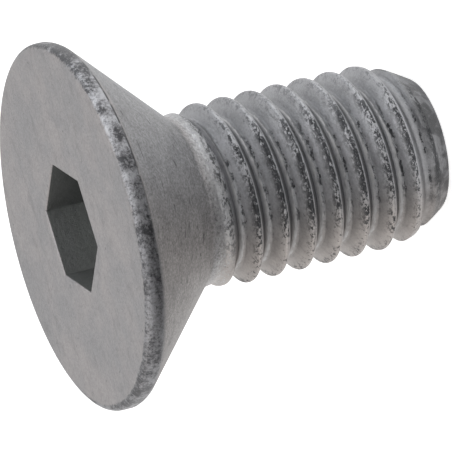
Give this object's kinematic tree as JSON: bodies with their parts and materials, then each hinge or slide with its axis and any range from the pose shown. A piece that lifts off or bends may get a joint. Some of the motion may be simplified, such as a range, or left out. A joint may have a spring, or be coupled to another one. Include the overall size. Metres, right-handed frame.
{
  "type": "hexagon socket countersunk screw",
  "caption": "Countersunk machine screw: flat head with a hexagon socket, right-angled cone under the head and a right-hand metric thread up to the neck.",
  "frame": {"origin": "centre of the threaded end, on the surface that the screw stands on", "axes": "+Z along the screw's axis from the threaded end to the head face; two corners of the hexagon socket lie on X"},
  "size_m": [0.016, 0.016, 0.0164],
  "materials": {
    "zinc_steel": "dull grey zinc coat, fine grained and mottled"
  },
  "bodies": {
    "root": {"screw": "zinc_steel"}
  },
  "joints": []
}
